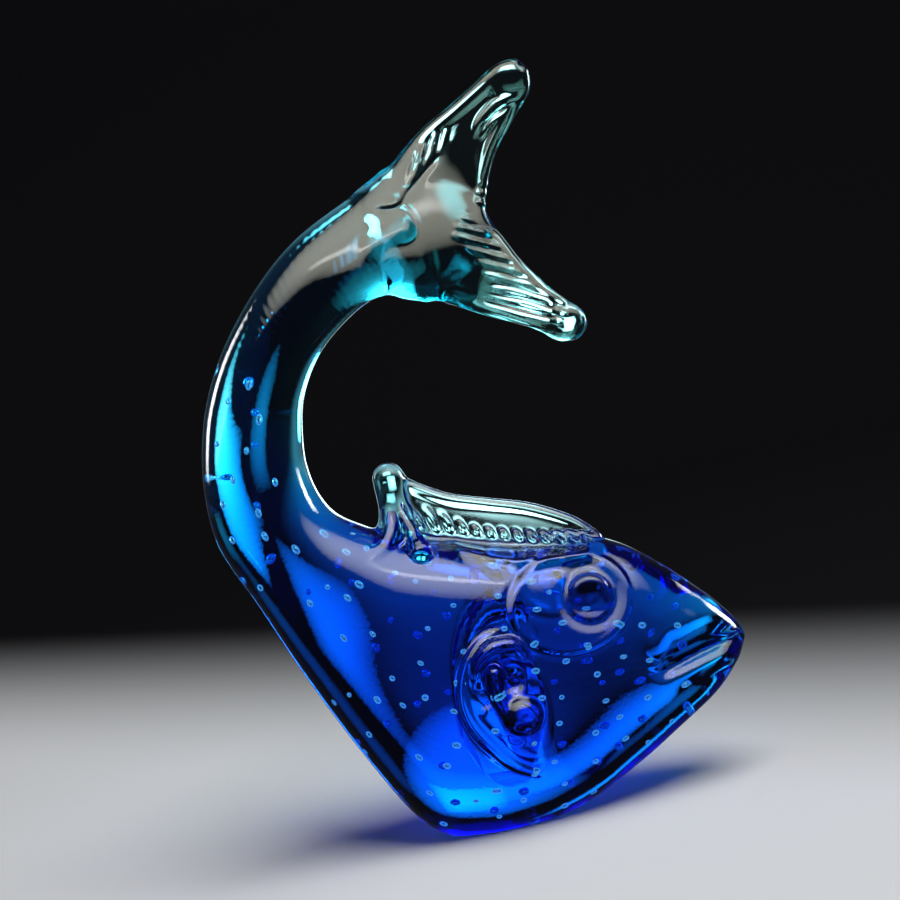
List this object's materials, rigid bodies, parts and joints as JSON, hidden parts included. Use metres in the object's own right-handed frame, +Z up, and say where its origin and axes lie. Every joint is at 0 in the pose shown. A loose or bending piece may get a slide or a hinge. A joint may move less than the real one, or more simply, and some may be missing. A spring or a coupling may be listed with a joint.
{
  "type": "art glass fish figurine",
  "caption": "Solid blue art-glass fish on a ground flat, tail curled high over its back, with trapped bubbles, laid-on fins and bead eyes.",
  "frame": {"origin": "middle of the ground flat under the belly, where the figurine rests", "axes": "+Z up, +X toward the snout, Y across the fish with +Y on its left side"},
  "size_m": [0.1301, 0.0492, 0.1942],
  "materials": {
    "core_glass": "solid transparent deep blue glass, pricked with air bubbles",
    "casing_glass": "fire-polished transparent blue glass, cyan where thin",
    "fin_glass": "fire-polished thin glass, nearly clear aqua, with tool ribs",
    "eye_glass": "fire-polished deep blue bead"
  },
  "bodies": {
    "root": {"body_core": "core_glass", "body_casing": "casing_glass", "tail_fin": "fin_glass", "dorsal_fin": "fin_glass", "pectoral_fin_left": "casing_glass", "pectoral_fin_right": "casing_glass", "eye_left": "eye_glass", "eye_right": "eye_glass"}
  },
  "joints": []
}
